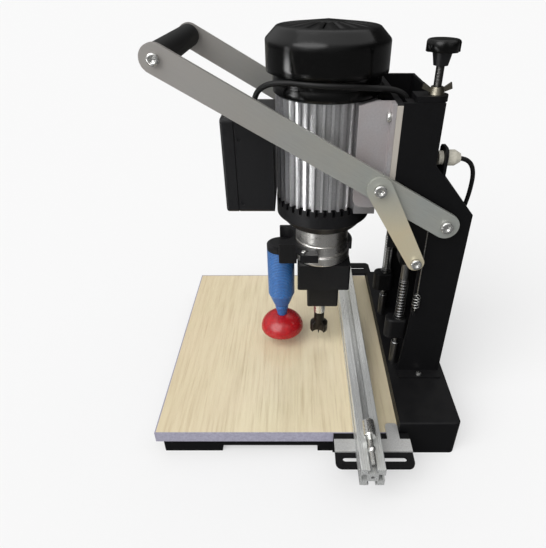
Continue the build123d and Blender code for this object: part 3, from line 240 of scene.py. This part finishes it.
# Edges rubbed through to what lies under the paint, from how far a rounded normal turns
wearSet = {"samples": 4, "flat": 0.98, "sharp": 0.78}
wearGroup, given, made = newGroup("edgeWear", Radius=0.0012, Scale=90.0, Amount=0.5)
rounded = addNode(wearGroup, "ShaderNodeBevel", samples=wearSet["samples"])
join(wearGroup, given["Radius"], rounded.inputs["Radius"])
facing = dotNode(wearGroup, rounded.outputs[0], faceNormal(wearGroup))
rubbed = product(wearGroup, spread(wearGroup, facing, wearSet["flat"], wearSet["sharp"]),
                 useGroup(wearGroup, grainGroup, Scale=given["Scale"]))
join(wearGroup, product(wearGroup, rubbed, given["Amount"]), made)

# Dust on faces that look up
dustSet = {"steep": 0.5, "level": 1.0, "color": (0.45, 0.43, 0.40)}
dustGroup, given, made = newGroup("topDust", Scale=60.0, Amount=0.1)
upward = dotNode(dustGroup, faceNormal(dustGroup), (0, 0, 1))
settled = product(dustGroup, spread(dustGroup, upward, dustSet["steep"], dustSet["level"]),
                  useGroup(dustGroup, grainGroup, Scale=given["Scale"]))
join(dustGroup, product(dustGroup, settled, given["Amount"]), made)

# Share along an axis, for a tone that changes over a piece
zoneGroup, given, made = newGroup("zoneMask", Axis=(0, 0, 1), From=0.0, To=1.0)
along = dotNode(zoneGroup, objectSpot(zoneGroup), given["Axis"])
join(zoneGroup, spread(zoneGroup, along, given["From"], given["To"]), made)

# Ribs or thread: 0.5 + 0.5 sin(2 pi p.axis / pitch)
ribGroup, given, made = newGroup("ringRibs", Axis=(0, 0, 1), Pitch=0.002)
along = dotNode(ribGroup, objectSpot(ribGroup), given["Axis"])
phase = product(ribGroup, mathNode(ribGroup, "DIVIDE", along, given["Pitch"]), 2 * pi)
wave = mathNode(ribGroup, "SINE", phase)
join(ribGroup, mathNode(ribGroup, "MULTIPLY_ADD", wave, 0.5, 0.5), made)

# Painted shade in corners, by how far the nearby space is closed
cornerSet = {"samples": 8}
cornerShadeGroup, given, made = newGroup("cornerShade", Reach=0.006, Open=0.8, Closed=0.3)
closing = addNode(cornerShadeGroup, "ShaderNodeAmbientOcclusion", samples=cornerSet["samples"],
                  only_local=True)
join(cornerShadeGroup, given["Reach"], closing.inputs["Distance"])
join(cornerShadeGroup, spread(cornerShadeGroup, closing.outputs["AO"], given["Open"], given["Closed"]), made)
print("shader groups made")


def even(v):
    return (v, v, v)


# Finishes: two tones, roughness range, grain scale and bump, then what a surface has besides:
# tint (tone, scale, share), corner (reach, painted shade tone, share), wear (share, tone), dust
# (share), zone (axis, from, to, tone, share), ribs (axis, pitch, strength, painted shade tone in
# the valleys), soft (radius)
leverTurn = radians(-30)  # the grain follows the lever arms
paintTones = (even(0.003), (0.005, 0.005, 0.006))
rubberTones = (even(0.004), even(0.007))
plainFinish = dict(metal=0, gloss=0.5, coat=0, stretch=(1, 1, 1), turn=0.0, cut=grainSet["cut"])
finishes = {
    # Painted reflection: zone darkens the board and deepens its colour towards -X, leaving it paler
    # where its glossy top would reflect the sky
    "board": dict(tones=((0.71, 0.63, 0.43), (0.46, 0.37, 0.23)), rough=(0.26, 0.36),
                  stretch=(1, 0.03, 1), scale=330, cut=(0.44, 0.80), bump=0.02, coat=0.25,
                  tint=((0.77, 0.65, 0.48), 14, 0.35),
                  zone=((1, 0, 0), -0.06, -0.22, (0.56, 0.44, 0.27), 0.5)),
    "band": dict(tones=((0.34, 0.33, 0.41), (0.27, 0.26, 0.33)), rough=(0.35, 0.5),
                 scale=300, bump=0.05),
    "powder": dict(tones=paintTones, rough=(0.42, 0.55), scale=1400, bump=0.12, gloss=0.15,
                   wear=(0.15, even(0.03)), dust=0.006),
    "carriage": dict(tones=paintTones, rough=(0.40, 0.55), scale=1400, bump=0.12, gloss=0.15,
                     zone=((0, -1, 0), 0.0754, 0.0757, (0.40, 0.37, 0.33), 0.9)),
    "plastic": dict(tones=((0.007, 0.007, 0.008), (0.010, 0.010, 0.011)), rough=(0.34, 0.44),
                    scale=900, bump=0.05, gloss=0.3, wear=(0.1, even(0.03)), dust=0.006),
    "gloss": dict(tones=(even(0.002), even(0.003)), rough=(0.10, 0.14), scale=300, bump=0.004,
                  gloss=0.28, dust=0.004, soft=0.008),
    "iron": dict(tones=((0.005, 0.005, 0.006), (0.009, 0.009, 0.010)), rough=(0.34, 0.50),
                 metal=0.1, scale=700, bump=0.10, gloss=0.3, wear=(0.2, (0.06, 0.06, 0.055)),
                 dust=0.006),
    "grip": dict(tones=rubberTones, rough=(0.5, 0.65), scale=1500, bump=0.12, gloss=0.25),
    "brushed": dict(tones=((0.335, 0.352, 0.335), (0.295, 0.31, 0.295)), rough=(0.30, 0.40),
                    metal=0.4, stretch=(0.04, 1, 1), turn=leverTurn, scale=1400, bump=0.02,
                    tint=((0.37, 0.345, 0.285), 18, 0.4), wear=(0.2, (0.60, 0.60, 0.58)),
                    zone=((1, 0, 0), 0.06, -0.14, (0.335, 0.31, 0.295), 0.75)),
    "zincLink": dict(tones=((0.60, 0.55, 0.40), (0.53, 0.48, 0.35)), rough=(0.30, 0.42),
                     metal=0.4, scale=900, bump=0.02, tint=((0.58, 0.49, 0.33), 30, 0.6),
                     zone=((0, 0, 1), 0.285, 0.335, (0.345, 0.36, 0.335), 0.9)),
    "grey": dict(tones=((0.46, 0.45, 0.46), (0.40, 0.39, 0.40)), rough=(0.34, 0.46), metal=0.5,
                 scale=500, bump=0.04, tint=((0.42, 0.35, 0.34), 22, 0.5), wear=(0.2, even(0.7))),
    "fencePlate": dict(tones=((0.70, 0.70, 0.69), (0.60, 0.60, 0.59)), rough=(0.34, 0.46),
                       metal=0.6, scale=500, bump=0.04,
                       zone=((0, 1, 0), 0.0, 0.02, (0.004, 0.004, 0.005), 1.0)),
    # Painted shade and reflection: corner darkens the gaps between the fins, and zone darkens the
    # fins towards +X, where they would reflect the dark column
    "cast": dict(tones=((0.90, 0.90, 0.91), (0.78, 0.78, 0.79)), rough=(0.28, 0.40), metal=0.92,
                 scale=600, bump=0.08, corner=(0.006, even(0.08), 0.9),
                 zone=((1, 0, 0), 0.028, 0.068, (0.36, 0.34, 0.34), 0.75)),
    "steel": dict(tones=((0.74, 0.74, 0.72), (0.60, 0.60, 0.58)), rough=(0.20, 0.32), metal=1,
                  stretch=(1, 1, 0.1), scale=900, bump=0.02),
    "bolt": dict(tones=((0.64, 0.64, 0.62), (0.56, 0.56, 0.54)), rough=(0.14, 0.22), metal=0.85,
                 scale=900, bump=0.01, soft=0.0034),
    "darkSteel": dict(tones=(even(0.20), even(0.14)), rough=(0.3, 0.42), metal=1, scale=900,
                      bump=0.03),
    "rotor": dict(tones=((0.74, 0.73, 0.70), (0.62, 0.61, 0.59)), rough=(0.22, 0.34), metal=1,
                  scale=900, bump=0.02, zone=((0, 0, 1), 0.436, 0.438, even(0.01), 1.0)),
    # Painted shade: the thread valleys darkened
    "thread": dict(tones=((0.11, 0.107, 0.103), (0.08, 0.077, 0.074)), rough=(0.22, 0.32),
                   metal=1, scale=900, bump=0.02, ribs=((0, 0, 1), 0.00125, 0.5, even(0.05))),
    "zincNut": dict(tones=((0.27, 0.25, 0.20), (0.20, 0.185, 0.15)), rough=(0.26, 0.38), metal=1,
                    scale=400, bump=0.03),
    "flange": dict(tones=((0.86, 0.85, 0.82), (0.72, 0.70, 0.68)), rough=(0.26, 0.38), metal=1,
                   stretch=(0.15, 0.15, 1), scale=1500, bump=0.03),
    "bit": dict(tones=((0.014, 0.011, 0.009), (0.035, 0.030, 0.025)), rough=(0.3, 0.5), metal=0.7,
                scale=400, bump=0.05, gloss=0.25, wear=(0.5, (0.4, 0.38, 0.35))),
    # Painted shade and reflection: corner darkens the slots, and zone pales the rail towards its
    # far end, where it would reflect the bright background at a grazing angle
    "rail": dict(tones=((0.76, 0.77, 0.76), (0.58, 0.59, 0.58)), rough=(0.24, 0.36), metal=0.6,
                 stretch=(1, 0.02, 1), scale=700, bump=0.03, corner=(0.010, even(0.18), 0.6),
                 zone=((0, 1, 0), -0.08, 0.12, (0.84, 0.84, 0.79), 0.95)),
    # Painted shade: the rib valleys darkened
    "blue": dict(tones=((0.046, 0.22, 0.60), (0.032, 0.15, 0.43)), rough=(0.26, 0.36), scale=250,
                 bump=0.015, ribs=((0, 0, 1), 0.0026, 0.6, (0.013, 0.070, 0.23))),
    "red": dict(tones=((0.42, 0.010, 0.014), (0.31, 0.006, 0.010)), rough=(0.22, 0.32), scale=160,
                bump=0.03, gloss=0.4, coat=0.12),
    "cream": dict(tones=((0.47, 0.45, 0.38), (0.41, 0.39, 0.33)), rough=(0.4, 0.5), scale=300,
                  bump=0.04),
    "rubber": dict(tones=rubberTones, rough=(0.45, 0.6), scale=1200, bump=0.06, gloss=0.25),
    "springWire": dict(tones=(even(0.26), even(0.18)), rough=(0.26, 0.36), metal=1, scale=700,
                       bump=0.02),
    "brightWire": dict(tones=((0.40, 0.40, 0.39), (0.30, 0.30, 0.29)), rough=(0.24, 0.34), metal=1,
                       scale=700, bump=0.02),
}
surfaceSet = {"coatRough": 0.12, "bumpDepth": 0.0004, "pitchPerDepth": 3, "softSamples": 12}


def overlay(tree, color, other, mask, amount):
    return mixColor(tree, product(tree, mask, amount), color, other)


def bumpNode(tree, height, strength, depth):
    node = addNode(tree, "ShaderNodeBump")
    for label, value in (("Strength", strength), ("Distance", depth), ("Height", height)):
        join(tree, value, node.inputs[label])
    return node


def makeFinish(name, ownSpec):
    spec = {**plainFinish, **ownSpec}
    mat = bpy.data.materials.new(name)
    mat.use_nodes = True
    tree = mat.node_tree
    shader = tree.nodes["Principled BSDF"].inputs
    low, high = spec["cut"]
    grain = useGroup(tree, grainGroup, Stretch=spec["stretch"], Turn=spec["turn"],
                     Scale=spec["scale"], Low=low, High=high)
    color = mixColor(tree, grain, *spec["tones"])
    if "tint" in spec:
        other, scale, amount = spec["tint"]
        color = overlay(tree, color, other, useGroup(tree, grainGroup, Scale=scale), amount)
    # Painted shade: darker in corners and crevices, the more the nearby space is closed
    if "corner" in spec:
        reach, shadeTone, amount = spec["corner"]
        color = overlay(tree, color, shadeTone, useGroup(tree, cornerShadeGroup, Reach=reach), amount)
    if "dust" in spec:
        dusty = useGroup(tree, dustGroup, Amount=spec["dust"])
        color = mixColor(tree, dusty, color, dustSet["color"])
    if "wear" in spec:
        amount, bare = spec["wear"]
        color = mixColor(tree, useGroup(tree, wearGroup, Amount=amount), color, bare)
    if "zone" in spec:
        axis, start, end, other, amount = spec["zone"]
        mask = useGroup(tree, zoneGroup, Axis=axis, From=start, To=end)
        color = overlay(tree, color, other, mask, amount)
    bump = bumpNode(tree, grain, spec["bump"], surfaceSet["bumpDepth"])
    if "ribs" in spec:
        axis, pitch, strength, valleyShade = spec["ribs"]
        rib = useGroup(tree, ribGroup, Axis=axis, Pitch=pitch)
        # Painted shade: the rib and thread valleys darkened to the valley tone
        color = mixColor(tree, rib, valleyShade, color)
        ridge = bumpNode(tree, rib, strength, pitch / surfaceSet["pitchPerDepth"])
        join(tree, ridge.outputs[0], bump.inputs["Normal"])
    if "soft" in spec:
        eased = addNode(tree, "ShaderNodeBevel", samples=surfaceSet["softSamples"])
        eased.inputs["Radius"].default_value = spec["soft"]
        join(tree, eased.outputs[0], bump.inputs["Normal"])
    rough = spread(tree, grain, 0, 1, *spec["rough"])
    for label, value in (("Base Color", color), ("Metallic", spec["metal"]), ("Roughness", rough),
                         ("Specular IOR Level", spec["gloss"]), ("Coat Weight", spec["coat"]),
                         ("Coat Roughness", surfaceSet["coatRough"]), ("Normal", bump.outputs[0])):
        join(tree, value, shader[label])
    return mat


mats = {name: makeFinish(name, spec) for name, spec in finishes.items()}
nodeFinish = {
    "board": ["table_board"],
    "band": ["edge_bands"],
    "powder": ["base_pan", "base_box", "near_cheek", "far_cheek", "column_back", "guide_bridge",
               "stop_plate", "spring_seats", "slide_blocks", "fence_brackets"],
    "carriage": ["carriage_plate"],
    "plastic": ["switch_box", "box_lid", "rocker_key", "sleeve_cap", "stop_sleeve"],
    "gloss": ["fan_cover", "upper_bell", "depth_knob"],
    "iron": ["lower_bell", "head_block", "hold_bracket"],
    "grip": ["lever_grip"],
    "brushed": ["near_lever_arm", "far_lever_arm"],
    "zincLink": ["side_links"],
    "grey": ["motor_cradle"],
    "fencePlate": ["fence_plates"],
    "cast": ["motor_body"],
    "steel": ["foot_screws", "shaft_bearings", "fence_bolts", "fence_stop"],
    "bolt": ["link_pins", "pivot_bolts", "lever_bolts", "head_screws"],
    "darkSteel": ["guide_rods", "rod_fittings", "slide_bushes"],
    "rotor": ["rotor_shaft"],
    "thread": ["depth_rod"],
    "zincNut": ["wing_nut"],
    "flange": ["head_flange"],
    "bit": ["hinge_cutter"],
    "rail": ["fence_rail"],
    "blue": ["hold_sleeve", "plunger"],
    "red": ["hold_foot"],
    "cream": ["cord_gland"],
    "rubber": ["plug"],
}
for finish, names in nodeFinish.items():
    for node in names:
        for holder in bpy.data.objects[node].material_slots:
            holder.material = mats[finish]
print("finishes set")


# Helpers for the pieces made here
def addPiece(name, data, mat):
    data.materials.append(mats[mat])
    piece = bpy.data.objects.new(name, data)
    scene.collection.objects.link(piece)
    return piece


def quads(row, nextRow, col, nextCol, columns):  # a face for each cell of a grid of points
    corners = [row * columns + col, row * columns + nextCol,
               nextRow * columns + nextCol, nextRow * columns + col]
    return np.stack(corners, -1).reshape(-1, 4).tolist()


def easeStep(t):  # 3 t^2 - 2 t^3, with t held between 0 and 1
    t = np.clip(t, 0, 1)
    return t * t * (3 - 2 * t)


def ringPath(x, y, r, u, z):  # (x + r cos 2 pi u, y + r sin 2 pi u, z), u in turns
    return np.stack([x + r * np.cos(2 * pi * u), y + r * np.sin(2 * pi * u), z], -1)


# Springs: ring(v) = path + r (cos v N + sin v B), on frames carried along the path
firstLean = (0.0, 0.6, 0.8)  # a direction that no spring starts along


def sweptWire(name, path, spec, mat):
    path = np.stack(place(*path.T), -1)
    tangent = np.gradient(path, axis=0)
    tangent /= np.linalg.norm(tangent, axis=1)[:, None]
    side = np.cross(tangent[0], firstLean)
    sideways = []
    for t in tangent:  # each frame leans on the one before
        side = side - t * (side @ t)
        side = side / np.linalg.norm(side)
        sideways.append(side)
    normal = np.array(sideways)
    binormal = np.cross(tangent, normal)
    count, sides, r = len(path), spec["sides"], spec["wire"] / 2 / 1000
    v = (2 * pi * np.arange(sides) / sides)[None, :, None]
    rings = path[:, None] + r * (np.cos(v) * normal[:, None] + np.sin(v) * binormal[:, None])
    verts = np.concatenate([rings.reshape(-1, 3), path[:1], path[-1:]])
    row, col = np.meshgrid(np.arange(count - 1), np.arange(sides), indexing="ij")
    faces = quads(row, row + 1, col, (col + 1) % sides, sides)
    first, last, rim = count * sides, count * sides + 1, (count - 1) * sides
    faces += [(first, (i + 1) % sides, i) for i in range(sides)]
    faces += [(last, rim + i, rim + (i + 1) % sides) for i in range(sides)]
    mesh = bpy.data.meshes.new(name)
    mesh.from_pydata(verts.tolist(), [], faces)
    mesh.polygons.foreach_set("use_smooth", np.ones(len(mesh.polygons), dtype=bool))
    return addPiece(name, mesh, mat)


def sweptPair(name, pathOf, spec, mat):  # near and far spring, joined to one piece
    pieces = [sweptWire(name, pathOf(spec, side), spec, mat) for side in (-1, 1)]
    bpy.ops.object.select_all(action="DESELECT")
    for piece in pieces:
        piece.select_set(True)
    bpy.context.view_layer.objects.active = pieces[0]
    bpy.ops.object.join()
    return pieces[0]


def coilPath(spec, side=1):
    # ringPath with z rising by wire + close in each end turn, and evenly between them
    turns, shut = spec["turns"], spec["wire"] + spec["close"]
    rise = spec["high"] - spec["low"] - spec["wire"]
    u = np.linspace(0, turns, turns * spec["perTurn"] + 1)
    climb = np.interp(u, [0, 1, turns - 1, turns], [0, shut, rise - shut, rise])
    z = spec["low"] + spec["wire"] / 2 + climb
    return ringPath(spec["x"], side * spec["y"], spec["mean"], u, z)


returnSet = {"x": 104.0, "y": 56.0, "low": 139.8, "high": 199.7, "mean": 5.8, "turns": 14,
             "wire": 1.5, "close": 0.55, "stroke": 19.0, "perTurn": 28, "sides": 12}
returnSprings = sweptPair("returnSprings", coilPath, returnSet, "springWire")
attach(returnSprings, "frame")
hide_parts("return_springs")
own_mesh(returnSprings)

plungerSet = {"x": -55.5, "y": 12.5, "low": 138.8, "high": 203.7, "mean": 7.9, "turns": 6,
              "wire": 1.8, "close": 0.55, "stroke": 14.0, "perTurn": 28, "sides": 12}
plungerSpring = sweptWire("plungerSpring", coilPath(plungerSet), plungerSet, "springWire")
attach(plungerSpring, "head")
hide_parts("plunger_spring")
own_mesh(plungerSpring)

balanceSet = {"x": 115.5, "y": 81.45, "legY": 80.05, "low": 165.8, "coilLow": 171.0, "pitch": 4.4,
              "turns": 5, "mean": 4.2, "wire": 1.5, "high": 293.3, "sink": 5.6, "ease": 0.8,
              "perTurn": 28, "hookPoints": 6, "legPoints": 24, "sides": 10}


def balancePath(spec, side):
    # A straight hook, turns of radius mean * step(u / ease) * step((n - u) / ease), a straight leg
    x, y, turns = spec["x"], side * spec["y"], spec["turns"]
    u = np.linspace(0, turns, turns * spec["perTurn"] + 1)
    r = spec["mean"] * easeStep(np.minimum(u, turns - u) / spec["ease"])
    coil = ringPath(x, y, r, u, spec["coilLow"] + spec["pitch"] * u)
    hook = np.linspace((x, y, spec["low"]), coil[0], spec["hookPoints"])
    leg = np.linspace(coil[-1], (x, side * spec["legY"], spec["high"]), spec["legPoints"])
    return np.concatenate([hook[:-1], coil, leg[1:]])


balanceSprings = sweptPair("balanceSprings", balancePath, balanceSet, "brightWire")
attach(balanceSprings, "frame")
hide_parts("balance_springs")
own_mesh(balanceSprings)
print("springs wound")

# Cords: route points as in the solids, smoothed by one spline each
cordSet = {"bevelSteps": 5, "order": 3, "steps": 6}


def cordCurve(name, points, radius, mat):
    data = bpy.data.curves.new(name, "CURVE")
    data.dimensions = "3D"
    data.bevel_depth = radius / 1000
    data.bevel_resolution = cordSet["bevelSteps"]
    data.use_fill_caps = True
    spline = data.splines.new("NURBS")
    spline.points.add(len(points) - 1)
    spline.points.foreach_set("co", np.stack([*place(*points.T), np.ones(len(points))], -1).ravel())
    spline.order_u = cordSet["order"]
    spline.use_endpoint_u = True
    spline.resolution_u = cordSet["steps"]
    return addPiece(name, data, mat)


# Mains cord: down from the ear on the column (offsets from it), to a coil of two layers
mainsSet = {"radius": 2.5, "ear": (127.0, -58.0, 358.0), "out": 3.0, "coil": (166.0, 237.0),
            "inner": 20.0, "pitch": 6.2, "halfTurns": 3.0, "soften": 0.02, "climb": 0.5,
            "floor": 0.1, "perTurn": 16, "tail": 31.0, "length": 1.62,
            "fall": ((18, 0, 0), (30, 2, -6), (37, 6, -20), (39.5, 12, -42), (41.5, 22, -64),
                     (44, 42, -100), (46.5, 64, -142), (49.5, 88, -186), (53, 115, -228),
                     (58, 146, -268), (64, 178, -300)),
            "lead": ((-11, -86, 31), (-4.5, -55, 11), (0, -28, 0))}


def mainsCoil(spec):
    # ringPath with r = inner + pitch * sqrt(w^2 + soften), w = u - half, climbing a layer at w = 0
    turns = 2 * spec["halfTurns"]
    steps = int(turns * spec["perTurn"])
    u = turns * np.arange(steps + 1) / steps
    w = u - spec["halfTurns"]
    r = spec["inner"] + spec["pitch"] * np.sqrt(w ** 2 + spec["soften"])
    layer = easeStep((w + spec["climb"] / 2) / spec["climb"])
    return ringPath(*spec["coil"], r, u, spec["floor"] + spec["radius"] + spec["pitch"] * layer)


coil = mainsCoil(mainsSet)
tail = mainsSet["tail"]
route = np.concatenate([np.add(mainsSet["ear"], [(mainsSet["out"], 0, 0), *mainsSet["fall"]]),
                        np.add(coil[0], mainsSet["lead"]), coil,
                        np.add(coil[-1], [(0, tail / 2, 0), (0, tail, 0)])])
mainsCord = cordCurve("mainsCord", route, mainsSet["radius"], "rubber")
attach(mainsCord, "frame")
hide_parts("mains_cord", "cord_coil")

# Tie round the coil: a flat strap on a rounded box, |s|^n + |z|^n = 1 with s across the turns
tieSet = {"angle": 200.0, "wide": 5.0, "thick": 0.8, "power": 5.0, "inside": 16.6, "outside": 42.0,
          "top": 12.6, "floor": 0.05, "points": 64}


def tieShape(spec, middle):
    v = 2 * pi * np.arange(spec["points"]) / spec["points"]
    bend = 2 / spec["power"]
    across = np.sign(np.cos(v)) * np.abs(np.cos(v)) ** bend
    upright = np.sign(np.sin(v)) * np.abs(np.sin(v)) ** bend
    thick, inside, outside, high = spec["thick"], spec["inside"], spec["outside"], spec["top"] / 2
    strap = np.array([(-1, thick), (1, thick), (1, 0), (-1, 0)])  # side and depth of its corners
    edge, inset = strap.T[:, :, None]
    s = (inside + outside) / 2 + ((outside - inside) / 2 - inset) * across
    z = high + spec["floor"] + (high - inset) * upright
    offset = edge * spec["wide"] / 2
    c, d = cos(radians(spec["angle"])), sin(radians(spec["angle"]))
    verts = np.stack(place(middle[0] + s * c - offset * d, middle[1] + s * d + offset * c, z), -1)
    k, i = np.meshgrid(np.arange(len(strap)), np.arange(len(v)), indexing="ij")
    faces = quads(k, (k + 1) % len(strap), i, (i + 1) % len(v), len(v))
    return verts.reshape(-1, 3).tolist(), faces


tieVerts, tieFaces = tieShape(tieSet, mainsSet["coil"])
tieMesh = bpy.data.meshes.new("cordTie")
tieMesh.from_pydata(tieVerts, [], tieFaces)
cordTie = addPiece("cordTie", tieMesh, "plastic")
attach(cordTie, "frame")

# Motor cable: out of the switch box, round the motor (degrees and dip), down to the clip
cableSet = {"radius": 3.0, "box": (-80.0, -30.0, 396.0), "inside": 2.0, "under": 433.0,
            "leave": (14, -11, -3), "around": 65.5, "clip": (82.0, -47.0, 384.0), "over": 422.0,
            "bends": ((-128, 0), (-109, 0), (-90, -0.5), (-70, -2), (-52, -5)),
            "drop": ((-15, 0, 4), (-1, 0, -3), (0, 0, -15)), "length": 0.233}
bx, by, bz = cableSet["box"]
cx, cy, cz = cableSet["clip"]
under = cableSet["under"]
angle, dip = np.array(cableSet["bends"]).T
route = np.concatenate([[(bx, by, bz - cableSet["inside"]), (bx, by, (bz + under) / 2)],
                        [np.add((bx, by, under), cableSet["leave"])],
                        ringPath(0, 0, cableSet["around"], angle / 360, under + dip),
                        np.add((cx, cy, cableSet["over"]), cableSet["drop"]), [(cx, cy, cz)]])
motorCable = cordCurve("motorCable", route, cableSet["radius"], "rubber")
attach(motorCable, "head")
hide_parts("motor_cable")
print("cords laid")
